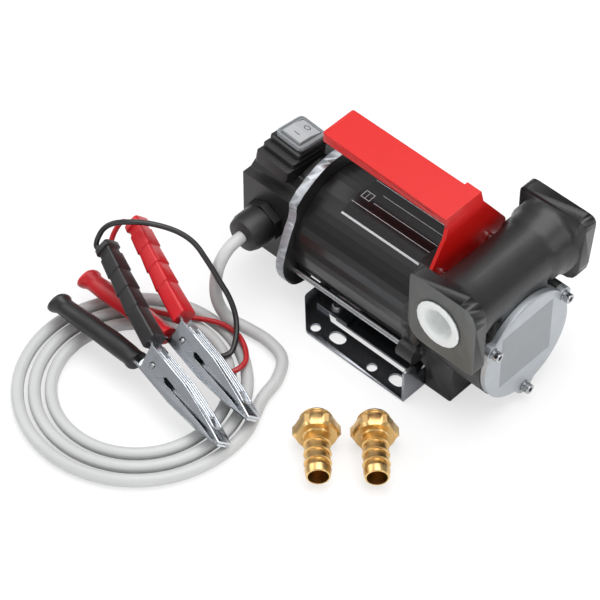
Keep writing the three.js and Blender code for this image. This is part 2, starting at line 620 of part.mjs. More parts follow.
function jaw(sign, width) {
  const blade = slab('y', leverShape(sign, 1, CHEEK_START, JAW_TIP), -width / 2, width / 2);
  const handle = slab('y', leverShape(sign, 1, LEVER_END, CHEEK_START), -HANDLE_BLADE, HANDLE_BLADE);
  const cheek = outline([
    [CHEEK_START, sign * 9.4], [30, sign * 9.4], [62, sign * 5.9], [77, sign * 2.6],
    [62, sign * 1.6], [16, sign * 2.4], [8, sign * -5], [-8, sign * -5],
  ]);
  const sides = [-width / 2, width / 2 - 1.5].map((y) => slab('y', cheek, y, y + 1.5));
  return cut(join(blade, handle, ...sides), rod('y', 2.5 + GAP, -20, 20, [0, 0, 0], 16));
}

const WIRE_DROP = 4.4;               // the lead's hole lies this far inside the blade

// The hole through the grip's end that the lead goes into.
const wireWay = (sign) => rod('x', LEAD_R + GAP, LEVER_END - 10, LEVER_END + 12,
  [0, 0, sign * (LEVER_RISE - WIRE_DROP)], 12);

function grip(sign, halfWidth, halfThick) {
  const body = slab('y', leverShape(sign, halfThick, LEVER_END, GRIP_END), -halfWidth, halfWidth);
  const rise = sign * LEVER_RISE;
  const boot = block([LEVER_END - 6, -halfWidth, rise - halfThick - 1], [LEVER_END + 5, halfWidth, rise + halfThick]);
  const half = HANDLE_BLADE + GAP;
  const inside = slab('y', leverShape(sign, 1 + GAP, LEVER_END, 30), -half, half);
  const overrun = block([LEVER_END - 1, -half, rise - 1 - GAP], [LEVER_END + 1, half, rise + 1 + GAP]);
  return cut(join(body, boot), inside, overrun, wireWay(sign));
}

const forward = new THREE.Vector3(0.979, -0.167, -0.138).normalize();
const upward = new THREE.Vector3(0.215, 0.719, 0.66);
upward.addScaledVector(forward, -forward.dot(upward)).normalize();

function clamp(name, rubber, at) {
  const [x, z] = [forward, upward];
  const frame = new THREE.Group();
  frame.quaternion.setFromRotationMatrix(basis(x, z.clone().cross(x), z));
  frame.position.set(...at);
  pump.add(frame);
  add(`${name}_upper_jaw`, jaw(1, 18), zinc, frame);
  add(`${name}_lower_jaw`, jaw(-1, 14.4), zinc, frame);
  add(`${name}_clamp_pin`, join(rod('y', 2.5, -9.3, 10.6, [0, 0, 0], 16), rod('y', 4, 9.3, 10.6, [0, 0, 0], 16)),
    steel, frame);
  add(`${name}_clamp_spring`, ring('y', 6.5, 2.5 + GAP, -5.2, 5.2, [0, 0, 0], 20), steel, frame);
  add(`${name}_upper_grip`, grip(1, 10.5, 7), rubber, frame);
  add(`${name}_lower_grip`, grip(-1, 10, 8), rubber, frame);
}

// ---------------------------------------------------------------- the assembly
add('base_plate', basePlate(), zinc);
add('motor_cradle', motorCradle(), zinc);

add('motor_can', ring('x', CAN_R, CAN_R - CAN_WALL, CAN_START, CAN_END, AXIS, 48), blackPaint);
add('magnet_upper', magnet(1), ferrite);
add('magnet_lower', magnet(-1), ferrite);
add('armature', armature(), copper);
add('motor_shaft', rod('x', SHAFT_R, BRACKET_START + 1, COVER_START + 1.5, AXIS, 24), steel);
add('commutator', ring('x', 14, SHAFT_R + GAP, CAN_START + 3.5, CAN_START + 19, AXIS, 24), copper);
add('rear_bearing', ring('x', 13, SHAFT_R + GAP, BRACKET_START + GAP, CAN_START - GAP, AXIS, 28), steel);
add('drive_bearing', ring('x', 16, SHAFT_R + GAP, BODY_START + 0.7, BODY_START + 9.7, AXIS, 28), steel);
add('brush_holder', brushHolder(), carbon);
add('brush_front', brush(-1), carbon);
add('brush_rear', brush(1), carbon);
add('end_bracket', endBracket(), castAluminium);
add('tie_rod_front', tieRod(-1), steel);
add('tie_rod_rear', tieRod(1), steel);

add('switch_housing', switchHousing(), blackPlastic);
add('switch_bezel', bezel(), greyPlastic);
add('rocker_switch', rocker(), greyPlastic);
add('gland_body', glandBody(), blackPlastic);
add('gland_nut', glandNut(), blackPlastic);

add('pump_body', pumpBody(), castPaint);
add('end_cover', endCover(), castAluminium);
add('cover_seal', coverSeal(), blackRubber);
SCREW_ANGLES.forEach((a, i) => add(`cover_screw_${i + 1}`, coverScrew(a), steel));
add('vane_rotor', vaneRotor(), steel);
for (let i = 0; i < VANES; i += 1) add(`vane_${i + 1}`, vane(i), carbon);
add('shaft_seal', ring('x', 10.7, SHAFT_R + GAP, CHAMBER_START - 7.5, CHAMBER_START - GAP, AXIS, 24), blackRubber);
add('bypass_poppet', bypassPoppet(), brass);
add('bypass_spring', bypassSpring(), steel);
add('bypass_retainer', bypassRetainer(), steel);
add('port_plug_front', portPlug(-1), whitePlastic);
add('port_plug_rear', portPlug(1), whitePlastic);

add('carry_handle', carryHandle(), redPaint);
add('handle_screw_front', handleScrew(-1), steel);
add('handle_screw_rear', handleScrew(1), steel);

for (const [name, x, y] of [['hose_tail_left', 40, -134.5], ['hose_tail_right', 72.5, -105]]) {
  const tail = add(name, hoseTail(), brass);
  tail.rotation.z = turn(-45);
  tail.position.set(x, y, HEX_TAIL / 2);
}

add('supply_cable', tube(cableRoute(), CABLE_R, 8, 78), cableSheath);
const BLACK_CLAMP = [-73.2, -190, 31.2];
const RED_CLAMP = [-74, -157.1, 32.2];
clamp('black', blackRubber, BLACK_CLAMP);
clamp('red', redRubber, RED_CLAMP);

// A lead starts straight, in the end of its clamp's upper grip.
const gripEntry = (at) => [LEVER_END + 2, LEVER_END - 6, LEVER_END - 13].map((x) => new THREE.Vector3(...at)
  .addScaledVector(forward, x).addScaledVector(upward, LEVER_RISE - WIRE_DROP).toArray());
const BLACK_LEAD = [
  [-177, -147, 73], [-171.5, -141, 80.5], [-160.2, -132.1, 84], [-147.8, -120.6, 82], [-131.3, -108.9, 76],
  [-118.8, -104.1, 69], [-106.2, -104, 60], [-92, -104.5, 47], [-80.2, -104.6, 34], [-69.4, -109.3, 24],
  [-59.8, -119.2, 17], [-54, -131, 13.6], [-57, -138.5, 12.4], [-63, -141.5, 8.6], [-70, -139.5, 5.8],
  [-77, -136.8, 5.3],
  [-83.1, -136.1, 5.3],
];
const RED_LEAD = [
  [-182, -122, 60], [-183, -129, 53], [-180, -138, 43], [-178, -143, 34], [-173, -145, 26.5], [-166, -146.5, 20.5],
  [-157.3, -147.5, 16.5], [-146, -147, 14], [-131.3, -143.5, 13.6], [-116, -136, 13.6], [-94.7, -122, 13.6],
  [-79.5, -114.8, 13.6], [-63.7, -114.1, 13.6], [-49.1, -120.2, 13.6], [-39, -130.5, 13.6], [-39, -143, 13.4],
  [-49, -151, 10.5], [-60, -152, 7], [-68, -148, 5.3], [-76, -142, 5.3], [-82.6, -141.1, 5.3],
];
add('black_lead', tube([...gripEntry(BLACK_CLAMP), ...BLACK_LEAD], LEAD_R, 6, 26), blackRubber);
add('red_lead', tube([...gripEntry(RED_CLAMP), ...RED_LEAD], LEAD_R, 6, 26), redRubber);

export default pump;
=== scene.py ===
# %% [markdown]
# # A fluid transfer pump
# This lesson dresses a small twelve volt vane pump. The solids of the pump come in as a fixed frame, and
# every cell adds a finish or a finer piece on top. All sizes are in metres, in the frame of the solids: X
# runs along the motor shaft, Y towards the rear port, and Z is up.

# %% Load the frame
import json
import math

import bmesh
import bpy
import numpy as np
from mathutils import Matrix, Vector


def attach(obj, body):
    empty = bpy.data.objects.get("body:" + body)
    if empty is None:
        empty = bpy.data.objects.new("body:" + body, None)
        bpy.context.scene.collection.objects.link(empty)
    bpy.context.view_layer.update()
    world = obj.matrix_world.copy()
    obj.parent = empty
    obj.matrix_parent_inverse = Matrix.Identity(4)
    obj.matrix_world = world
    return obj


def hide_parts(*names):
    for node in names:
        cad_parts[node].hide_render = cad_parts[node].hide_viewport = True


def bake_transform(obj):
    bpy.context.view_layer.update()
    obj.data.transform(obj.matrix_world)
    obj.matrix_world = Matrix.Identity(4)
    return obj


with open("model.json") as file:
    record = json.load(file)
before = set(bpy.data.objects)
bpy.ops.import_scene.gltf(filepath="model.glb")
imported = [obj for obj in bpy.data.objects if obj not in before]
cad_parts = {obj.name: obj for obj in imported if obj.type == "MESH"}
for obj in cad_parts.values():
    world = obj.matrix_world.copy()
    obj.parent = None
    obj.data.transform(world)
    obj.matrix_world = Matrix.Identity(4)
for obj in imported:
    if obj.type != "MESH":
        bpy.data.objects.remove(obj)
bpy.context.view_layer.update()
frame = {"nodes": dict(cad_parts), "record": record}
MM = 0.001

# %% [markdown]
# ## Camera, floor and light
# A long lens from well above flattens the view, as a catalogue picture does. The camera stands 2.2 m away.
# Its aim is the middle of the front port, and two small offsets put that point where it belongs in the
# picture. Large soft lamps over a pale floor give smooth highlights. The floor is pale paper that glows a
# little for the camera alone, so it looks white without lighting the pump. Metal mirrors a world that is
# pale above and darker at the sides.

# %% Camera
AZIMUTH, ELEVATION, DISTANCE = math.radians(43.5), math.radians(48), 2.2
LENS, SENSOR = 179.52, 36
AIM = Vector((0.101, -0.068, 0.116))
AIM_RIGHT, AIM_UP = 0.1022, -0.01735

back = Vector((math.sin(AZIMUTH) * math.cos(ELEVATION), -math.cos(AZIMUTH) * math.cos(ELEVATION),
               math.sin(ELEVATION)))
right = Vector((math.cos(AZIMUTH), math.sin(AZIMUTH), 0))
up = back.cross(right)
camera = bpy.data.objects.new("camera", bpy.data.cameras.new("camera"))
camera.data.lens, camera.data.sensor_width = LENS, SENSOR
camera.location = AIM + back * DISTANCE - right * AIM_RIGHT - up * AIM_UP
camera.rotation_euler = Matrix((right, up, back)).transposed().to_euler()
bpy.context.scene.collection.objects.link(camera)
bpy.context.scene.camera = camera
bpy.context.scene.view_settings.view_transform = "Standard"
print("camera at", tuple(round(v, 3) for v in camera.location))

# %% Nodes for materials
def linear(hex_colour):
    """An sRGB hex colour as linear RGBA."""
    parts = [int(hex_colour[i:i + 2], 16) / 255 for i in (1, 3, 5)]
    return tuple(c / 12.92 if c <= 0.04045 else ((c + 0.055) / 1.055) ** 2.4 for c in parts) + (1,)


def node(tree, kind, settings=None, **links):
    """Adds one node. Settings are attributes or values; a link gives an input, as a socket."""
    made = tree.nodes.new(kind)
    for key, value in (settings or {}).items():
        if isinstance(key, int) or key in made.inputs:
            made.inputs[key].default_value = value
        else:
            setattr(made, key, value)
    for key, socket in links.items():
        name = key.replace("_", " ")
        tree.links.new(socket, made.inputs[int(key[1:]) if key[1:].isdigit() else name])
    return made


def new_material(name):
    """A material with a Principled BSDF, and its tree."""
    material = bpy.data.materials.new(name)
    material.use_nodes = True
    return material, material.node_tree, material.node_tree.nodes["Principled BSDF"]


# %% Floor and lamps
floor_material, tree, shader = new_material("white_studio_paper")
shader.inputs["Base Color"].default_value = linear("#F4F4F4")
shader.inputs["Roughness"].default_value = 0.9
white = node(tree, "ShaderNodeEmission", {"Color": (1, 1, 1, 1), "Strength": 1.0})
paths = node(tree, "ShaderNodeLightPath")
share = node(tree, "ShaderNodeMath", {"operation": "MULTIPLY", 1: 0.62}, i0=paths.outputs["Is Camera Ray"])
mixed = node(tree, "ShaderNodeMixShader", i0=share.outputs[0], i1=shader.outputs[0], i2=white.outputs[0])
tree.links.new(mixed.outputs[0], tree.nodes["Material Output"].inputs[0])

bpy.ops.mesh.primitive_plane_add(size=12, location=(0, 0, -0.0006))
floor = bpy.context.object
floor.name = "studio_floor"
floor.data.materials.append(floor_material)


def lamp(name, place, aim, size, power):
    light = bpy.data.lights.new(name, "AREA")
    light.shape, light.size, light.size_y, light.energy = "RECTANGLE", size[0], size[1], power
    holder = bpy.data.objects.new(name, light)
    holder.location = place
    holder.rotation_euler = (Vector(place) - Vector(aim)).to_track_quat("Z", "Y").to_euler()
    bpy.context.scene.collection.objects.link(holder)


lamp("top_soft_box", (0.1, 0.1, 1.5), (0, -0.05, 0), (1.6, 1.2), 20)
lamp("left_soft_box", (-1.3, -0.5, 0.9), (0, -0.1, 0.05), (1.0, 1.0), 7)
lamp("front_strip", (0.5, -1.4, 0.35), (0.0, -0.1, 0.08), (1.4, 0.35), 5)
lamp("right_fill", (1.4, 0.1, 0.8), (0, 0, 0.05), (0.8, 0.8), 5)

world = bpy.data.worlds.new("pale_studio")
bpy.context.scene.world = world
world.use_nodes = True
tree = world.node_tree
sky = tree.nodes["Background"]
where = node(tree, "ShaderNodeTexCoord")
split = node(tree, "ShaderNodeSeparateXYZ", i0=where.outputs["Generated"])
ramp = node(tree, "ShaderNodeValToRGB", i0=split.outputs["Z"])
ramp.color_ramp.elements[0].position, ramp.color_ramp.elements[0].color = 0.02, (0.12, 0.12, 0.125, 1)
ramp.color_ramp.elements[1].position, ramp.color_ramp.elements[1].color = 0.75, (0.62, 0.62, 0.63, 1)
paths = node(tree, "ShaderNodeLightPath")
seen = node(tree, "ShaderNodeMix", {"data_type": "RGBA", 7: (1, 1, 1, 1)},
            Factor=paths.outputs["Is Camera Ray"], i6=ramp.outputs["Color"])
tree.links.new(seen.outputs[2], sky.inputs["Color"])
sky.inputs["Strength"].default_value = 1.0

# %% [markdown]
# ## Finishes
# Each finish starts from what the real one is. Its colours are sRGB values, and its grain is set from a
# real size in millimetres. A noise texture on Object coordinates stays fixed to the piece. Every finish
# also rounds the piece's edges in the shading by a few tenths of a millimetre, because no moulded, cast or
# painted edge is truly sharp, and that thin bright line is what makes it look solid.

# %% The maker of finishes
FINISHES = {}


def finish_of(name, colours, rough, metal=0.0, grain=1.0, bump=0.1, blotch=12.0, edge=0.35, coat=0.0):
    """A slow blotch blends two hex colours. grain, blotch and edge are millimetres, and bump is 0 to 1."""
    material, tree, shader = new_material(name)
    place = node(tree, "ShaderNodeTexCoord").outputs["Object"]
    slow = node(tree, "ShaderNodeTexNoise", {"Scale": 1 / (blotch * MM), "Detail": 3.0}, Vector=place)
    fine = node(tree, "ShaderNodeTexNoise", {"Scale": 1 / (grain * MM), "Detail": 4.0}, Vector=place)
    colour = node(tree, "ShaderNodeMix", {"data_type": "RGBA", 6: linear(colours[0]), 7: linear(colours[1])},
                  Factor=slow.outputs["Fac"])
    tree.links.new(colour.outputs[2], shader.inputs["Base Color"])
    roughness = node(tree, "ShaderNodeMapRange", {"To Min": rough[0], "To Max": rough[1]},
                     Value=fine.outputs["Fac"])
    tree.links.new(roughness.outputs[0], shader.inputs["Roughness"])
    rounded = node(tree, "ShaderNodeBevel", {"samples": 4, "Radius": edge * MM})
    raised = node(tree, "ShaderNodeBump", {"Strength": bump, "Distance": grain * 0.25 * MM},
                  Height=fine.outputs["Fac"], Normal=rounded.outputs[0])
    tree.links.new(raised.outputs[0], shader.inputs["Normal"])
    shader.inputs["Metallic"].default_value = metal
    shader.inputs["Coat Weight"].default_value = coat
    shader.inputs["Coat Roughness"].default_value = 0.12
    FINISHES[name] = material


# %% The list of finishes
# black enamel on a drawn steel can: even, satin, with the faint orange peel of sprayed paint
finish_of("black_enamel", ("#101010", "#151515"), (0.28, 0.34), grain=1.6, bump=0.04, coat=0.2)
# black paint on a sand casting: the pits of the sand show through and break up the shine
finish_of("painted_sand_casting", ("#0E0E0F", "#1A1A1B"), (0.30, 0.52), grain=1.3, bump=0.45, blotch=9,
          edge=0.9, coat=0.1)
# a face that a mill has skimmed after casting: bare grey metal with a flat, dull shine
finish_of("skimmed_iron", ("#5A5C5B", "#686A69"), (0.42, 0.55), metal=0.75, grain=0.5, bump=0.12)
# blasted aluminium: pale and grainy, with no sharp reflections
finish_of("blasted_aluminium", ("#A9ADB1", "#B9BDC1"), (0.42, 0.55), metal=0.85, grain=0.55, bump=0.22,
          edge=0.6)
# zinc plated sheet: bright, with slow cloudy patches from the plating bath
finish_of("zinc_plate", ("#8B8E93", "#A7A9AE"), (0.16, 0.30), metal=1.0, grain=2.5, bump=0.04, blotch=22)
# bright zinc plate on the pressed steel of the clamp jaws
finish_of("bright_zinc", ("#B9BDC2", "#D0D4D8"), (0.14, 0.26), metal=1.0, grain=1.8, bump=0.05, blotch=10)
finish_of("turned_steel", ("#A5A6A8", "#BCBDBF"), (0.18, 0.30), metal=1.0, grain=0.8, bump=0.04)
# powder coat, glossy red, rounded over the edges of the bent sheet
finish_of("red_powder_coat", ("#C4120E", "#CB1511"), (0.26, 0.32), grain=1.5, bump=0.02, edge=0.8, coat=0.3)
# glass filled nylon mouldings: nearly black, with the dry bloom that the fibres give
finish_of("black_nylon", ("#121213", "#1B1B1C"), (0.36, 0.50), grain=0.8, bump=0.16, edge=0.6)
finish_of("grey_abs", ("#7E8183", "#85888A"), (0.34, 0.42), grain=0.5, bump=0.06, edge=0.5)
finish_of("light_grey_abs", ("#A4A6A8", "#ABADAF"), (0.30, 0.38), grain=0.5, bump=0.05)
# soft vinyl of the grips: a skin with a low, waxy sheen
finish_of("black_vinyl", ("#151415", "#222022"), (0.34, 0.46), grain=1.1, bump=0.12, edge=0.8)
finish_of("red_vinyl", ("#B40F18", "#C4151F"), (0.30, 0.42), grain=1.1, bump=0.12, edge=0.8)
# the sheath of the cable is extruded, so it is smooth and even
finish_of("grey_sheath", ("#B4B5B5", "#BEBFBE"), (0.34, 0.42), grain=2.0, bump=0.04, blotch=40)
finish_of("black_sheath", ("#161617", "#1E1E1F"), (0.30, 0.38), grain=1.0, bump=0.04)
finish_of("red_sheath", ("#A3161B", "#B01A20"), (0.30, 0.38), grain=1.0, bump=0.04)
# turned brass, cut with a sharp tool: bright, with a slight drag of the tool in its grain
finish_of("turned_brass", ("#D0AC70", "#DDBB80"), (0.24, 0.36), metal=1.0, grain=0.9, bump=0.06, edge=0.3)
finish_of("ferrite", ("#2E2F31", "#3A3B3D"), (0.5, 0.65), grain=0.6, bump=0.2)
finish_of("copper_wire", ("#B06A3C", "#C07B4A"), (0.25, 0.4), metal=1.0, grain=0.9, bump=0.3)
finish_of("carbon_block", ("#1F1F20", "#2A2A2B"), (0.45, 0.6), grain=0.5, bump=0.15)
finish_of("seal_rubber", ("#151515", "#1C1C1C"), (0.5, 0.6), grain=0.7, bump=0.1)
finish_of("plain_label", ("#85898C", "#8C9093"), (0.40, 0.46), grain=0.6, bump=0.04, edge=0.1)
finish_of("black_label", ("#0D0D0E", "#121213"), (0.22, 0.28), grain=1.5, bump=0.03, edge=0.1)
finish_of("label_print", ("#B9BCBE", "#C6C9CB"), (0.36, 0.42), grain=0.6, bump=0.03, edge=0.1)
finish_of("dark_print", ("#303234", "#383A3C"), (0.4, 0.5), grain=0.5, bump=0.03, edge=0.1)
milky, tree, shader = new_material("milky_polythene")
# polythene lets light in and scatters it, which gives the cap its cloudy white
shader.inputs["Base Color"].default_value = linear("#DDE0DF")
shader.inputs["Roughness"].default_value = 0.38
shader.inputs["Subsurface Weight"].default_value = 0.35
shader.inputs["Subsurface Radius"].default_value = (0.004, 0.004, 0.004)
place = node(tree, "ShaderNodeTexCoord").outputs["Object"]
fine = node(tree, "ShaderNodeTexNoise", {"Scale": 900.0, "Detail": 3.0}, Vector=place)
skin = node(tree, "ShaderNodeBump", {"Strength": 0.08, "Distance": 0.0002}, Height=fine.outputs["Fac"])
tree.links.new(skin.outputs[0], shader.inputs["Normal"])
FINISHES["milky_polythene"] = milky
print(len(FINISHES), "finishes")

# %% [markdown]
# ## Helpers for pieces
# A finished piece is a mesh whose points are already in place, with its object at the origin. The helper
# `keep` links it, gives it its finish, puts it on its body, and hides the solids that it stands for.

# %% Keep a piece
def keep(name, mesh, finish, body, stands_for, smooth=35):
    """Links a mesh as a finished piece. smooth is the angle in degrees above which an edge stays sharp."""
    piece = bpy.data.objects.new(name, mesh)
    bpy.context.scene.collection.objects.link(piece)
    mesh.materials.clear()
    mesh.materials.append(FINISHES[finish])
    mesh.polygons.foreach_set("use_smooth", [True] * len(mesh.polygons))
    mesh.set_sharp_from_angle(angle=math.radians(smooth))
    if body:
        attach(piece, body)
    if stands_for:
        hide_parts(*stands_for)
    return piece


def to_mesh(bm, name):
    """Closes a bmesh into a mesh, with doubles merged and faces outwards."""
    bmesh.ops.remove_doubles(bm, verts=bm.verts, dist=1e-6)
    bmesh.ops.recalc_face_normals(bm, faces=bm.faces)
    mesh = bpy.data.meshes.new(name)
    bm.to_mesh(mesh)
    bm.free()
    return mesh


# %% Tubes along a route
def smooth_route(points, per_span):
    """A centripetal Catmull-Rom curve through the points, as evenly parted samples."""
    p = [Vector(q) for q in points]
    p = [p[0] * 2 - p[1]] + p + [p[-1] * 2 - p[-2]]
    out = []
    for i in range(1, len(p) - 2):
        a, b, c, d = p[i - 1:i + 3]
        t = [0.0]
        for u, v in ((a, b), (b, c), (c, d)):
            t.append(t[-1] + max((v - u).length, 1e-9) ** 0.5)
        for k in range(per_span):
            s = t[1] + (t[2] - t[1]) * k / per_span
            a1 = a.lerp(b, (s - t[0]) / (t[1] - t[0]))
            a2 = b.lerp(c, (s - t[1]) / (t[2] - t[1]))
            a3 = c.lerp(d, (s - t[2]) / (t[3] - t[2]))
            b1 = a1.lerp(a2, (s - t[0]) / (t[2] - t[0]))
            b2 = a2.lerp(a3, (s - t[1]) / (t[3] - t[1]))
            out.append(b1.lerp(b2, (s - t[1]) / (t[2] - t[1])))
    return out + [p[-2]]


def tube_mesh(name, route, radius, sides):
    """A round tube whose rings are carried along the route without twisting. radius may be a list."""
    radii = radius if isinstance(radius, (list, tuple)) else [radius] * len(route)
    bm = bmesh.new()
    rings = []
    tangent = (route[1] - route[0]).normalized()
    side = tangent.orthogonal().normalized()
    for i, centre in enumerate(route):
        ahead = (route[min(i + 1, len(route) - 1)] - route[max(i - 1, 0)]).normalized()
        side = tangent.rotation_difference(ahead) @ side
        side = (side - ahead * side.dot(ahead)).normalized()
        tangent = ahead
        other = tangent.cross(side)
        rings.append([bm.verts.new(centre + (side * math.cos(a) + other * math.sin(a)) * radii[i])
                      for a in (2 * math.pi * k / sides for k in range(sides))])
    for low, high in zip(rings, rings[1:]):
        for k in range(sides):
            bm.faces.new((low[k], low[(k + 1) % sides], high[(k + 1) % sides], high[k]))
    bm.faces.new(rings[0][::-1])
    bm.faces.new(rings[-1])
    return to_mesh(bm, name)


# %% [markdown]
# ## The supply cable and its two leads
# The cable leaves the gland, falls to the floor and lies in nearly three loose turns. It is a ten
# millimetre sheath over two wires, so it bends in wide curves. A mesh tube is used because its route has to
# match the solid's route. Each lead starts in a clamp's upper grip and ends where the sheath ends.

# %% Routes of the cords
CABLE_R, LEAD_R, LAID_Z = 5, 2.2, 5.3
GLAND_X, HOUSING_FRONT, GLAND_Z = -100.8, 41, 63
COIL_X, COIL_Y, COIL_RADIUS, COIL_PITCH = -89, -199, 98, 13
COIL_FROM, COIL_ROUND, COIL_STEPS = 35, 1030, 46

cable_points = [
    (GLAND_X, -HOUSING_FRONT - 15, GLAND_Z), (GLAND_X, -HOUSING_FRONT - 31, GLAND_Z), (GLAND_X, -85, 60.5),
    (GLAND_X + 1, -96, 52), (GLAND_X + 3, -102.5, 38), (GLAND_X + 7, -105, 22), (GLAND_X + 17, -104, 9.5),
    (-66, -99, LAID_Z), (-46, -97.6, LAID_Z), (-26, -103, LAID_Z), (-14, -121, LAID_Z)]
for i in range(COIL_STEPS + 1):
    a = COIL_ROUND / COIL_STEPS * i
    r = COIL_RADIUS - COIL_PITCH * a / 360
    t = math.radians(COIL_FROM - a)
    cable_points.append((COIL_X + r * math.cos(t), COIL_Y + r * math.sin(t), LAID_Z))

LEVER_END, LEVER_RISE, WIRE_DROP = -98, 28.5, 4.4
FORWARD = Vector((0.979, -0.167, -0.138)).normalized()
UPWARD = Vector((0.215, 0.719, 0.66))
UPWARD = (UPWARD - FORWARD * UPWARD.dot(FORWARD)).normalized()
ACROSS = UPWARD.cross(FORWARD)
PIVOTS = {"black": Vector((-73.2, -190, 31.2)), "red": Vector((-74, -157.1, 32.2))}
LEADS = {
    "black": [
        (-177, -147, 73), (-171.5, -141, 80.5), (-160.2, -132.1, 84), (-147.8, -120.6, 82),
        (-131.3, -108.9, 76), (-118.8, -104.1, 69), (-106.2, -104, 60), (-92, -104.5, 47),
        (-80.2, -104.6, 34), (-69.4, -109.3, 24), (-59.8, -119.2, 17), (-54, -131, 13.6),
        (-57, -138.5, 12.4), (-63, -141.5, 8.6), (-70, -139.5, 5.8), (-77, -136.8, 5.3),
        (-83.1, -136.1, 5.3)],
    "red": [
        (-182, -122, 60), (-183, -129, 53), (-180, -138, 43), (-178, -143, 34), (-173, -145, 26.5),
        (-166, -146.5, 20.5), (-157.3, -147.5, 16.5), (-146, -147, 14), (-131.3, -143.5, 13.6),
        (-116, -136, 13.6), (-94.7, -122, 13.6), (-79.5, -114.8, 13.6), (-63.7, -114.1, 13.6),
        (-49.1, -120.2, 13.6), (-39, -130.5, 13.6), (-39, -143, 13.4), (-49, -151, 10.5), (-60, -152, 7),
        (-68, -148, 5.3), (-76, -142, 5.3), (-82.6, -141.1, 5.3)]}


def length_of(route):
    return sum((b - a).length for a, b in zip(route, route[1:]))


cable_route = [p * MM for p in smooth_route(cable_points, 6)]
cable = keep("cable_sheath", tube_mesh("cable_sheath", cable_route, CABLE_R * MM, 18), "grey_sheath", "frame",
             ["supply_cable"], 60)
print("cable length", round(length_of(cable_route), 3))

# %% The leads
# where each lead's bend from the frame to the moving jaw would begin and end; nothing here bends the lead
BEND = {"black": ((-125, -108, 72), (-163, -153, 64)), "red": ((-160, -147, 18), (-176, -126, 57))}
lead_pieces = {}
for colour, points in LEADS.items():
    entry = [PIVOTS[colour] + FORWARD * x + UPWARD * (LEVER_RISE - WIRE_DROP)
             for x in (LEVER_END + 2, LEVER_END - 6, LEVER_END - 13)]
    route = [p * MM for p in smooth_route([*entry, *points], 7)]
    lead = keep(f"{colour}_wire", tube_mesh(f"{colour}_wire", route, LEAD_R * MM, 12), f"{colour}_sheath",
                None, [f"{colour}_lead"], 60)
    start, end = (tuple(v * MM for v in p) for p in BEND[colour])
    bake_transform(lead)
    lead_pieces[colour] = (lead, route)
    print(colour, "lead length", round(length_of(route), 3))

# %% [markdown]
# ## Solids that keep their shape
# Most of the hard pieces are right as they are, and only their flat shading gives them away. A merged copy
# of the solid shades its curved walls smoothly and keeps its true edges sharp, and a weighted normal keeps
# the flat faces flat. The solid itself is hidden, and the copy rides on the same body.

# %% Dress the solids
def merged_copy(solid, name):
    """A copy of a solid's mesh with its corners joined."""
    bm = bmesh.new()
    bm.from_mesh(frame["nodes"][solid].data)
    bmesh.ops.remove_doubles(bm, verts=bm.verts, dist=2e-6)
    mesh = bpy.data.meshes.new(name)
    bm.to_mesh(mesh)
    bm.free()
    return mesh


BODY_OF = {n: b for b, members in frame["record"]["behaviour"]["bodies"].items() for n in members}


def dressed(solid, name, finish, smooth=32):
    piece = keep(name, merged_copy(solid, name), finish, BODY_OF[solid], [solid], smooth)
    even = piece.modifiers.new("even_shading", "WEIGHTED_NORMAL")
    even.keep_sharp = True
    return piece


DRESS = [
    ("base_plate", "mounting_plate", "zinc_plate"), ("motor_cradle", "cradle_strip", "zinc_plate"),
    ("motor_can", "motor_case", "black_enamel"), ("end_bracket", "bracket_casting", "blasted_aluminium"),
    ("tie_rod_front", "front_tie_rod", "turned_steel"), ("tie_rod_rear", "rear_tie_rod", "turned_steel"),
    ("switch_housing", "switch_box", "black_nylon"), ("rocker_switch", "rocker", "light_grey_abs"),
    ("gland_body", "gland_hex", "black_nylon"), ("gland_nut", "gland_dome", "black_nylon"),
    ("pump_body", "pump_casting", "painted_sand_casting"),
    ("end_cover", "cover_casting", "blasted_aluminium"), ("cover_seal", "cover_gasket", "seal_rubber"),
    ("port_plug_front", "front_cap", "milky_polythene"), ("port_plug_rear", "rear_cap", "milky_polythene"),
    ("carry_handle", "handle_strip", "red_powder_coat"),
    ("handle_screw_front", "front_handle_screw", "turned_steel"),
    ("handle_screw_rear", "rear_handle_screw", "turned_steel"),
]
dressed_pieces = {name: dressed(solid, name, finish) for solid, name, finish in DRESS}
print(len(dressed_pieces), "solids dressed")

# %% Finishes for the solids that stay
INNER = {
    "ferrite": ["magnet_upper", "magnet_lower"], "copper_wire": ["armature", "commutator"],
    "turned_steel": ["motor_shaft", "rear_bearing", "drive_bearing", "vane_rotor", "bypass_spring",
                     "bypass_retainer"],
    "carbon_block": ["brush_holder", "brush_front", "brush_rear"] + [f"vane_{i}" for i in range(1, 6)],
    "seal_rubber": ["shaft_seal"], "turned_brass": ["bypass_poppet"],
    "bright_zinc": [f"{c}_{w}_jaw" for c in PIVOTS for w in ("upper", "lower")],
}
for finish, solids in INNER.items():
    for solid in solids:
        mesh = frame["nodes"][solid].data
        mesh.materials.clear()
        mesh.materials.append(FINISHES[finish])
print(sum(len(s) for s in INNER.values()), "solids keep their own mesh")

# %% A second finish on one piece
def second_finish(piece, finish, test):
    """Gives another finish to the faces for which test(centre in mm, normal) is true."""
    piece.data.materials.append(FINISHES[finish])
    index = len(piece.data.materials) - 1
    chosen = [face for face in piece.data.polygons if test(face.center / MM, face.normal)]
    for face in chosen:
        face.material_index = index
    return len(chosen)


PORT_FACE = 68
print("skimmed faces:", second_finish(dressed_pieces["pump_casting"], "skimmed_iron",
                                      lambda c, n: abs(n.y) > 0.99 and abs(c.y) > PORT_FACE - 0.1))
print("dark faces:", second_finish(dressed_pieces["bracket_casting"], "painted_sand_casting",
                                   lambda c, n: abs(n.x) > 0.99))

# %% [markdown]
# ## Trees that repeat a piece
# Screws, coils and threads repeat one shape by a rule, so Geometry Nodes make them. One tree stands a
# template on every point of a mesh. The other winds a wire along a spiral, for a spring or a thread. Both
# end in plain geometry with a finish, and `grow` turns the result into a mesh.

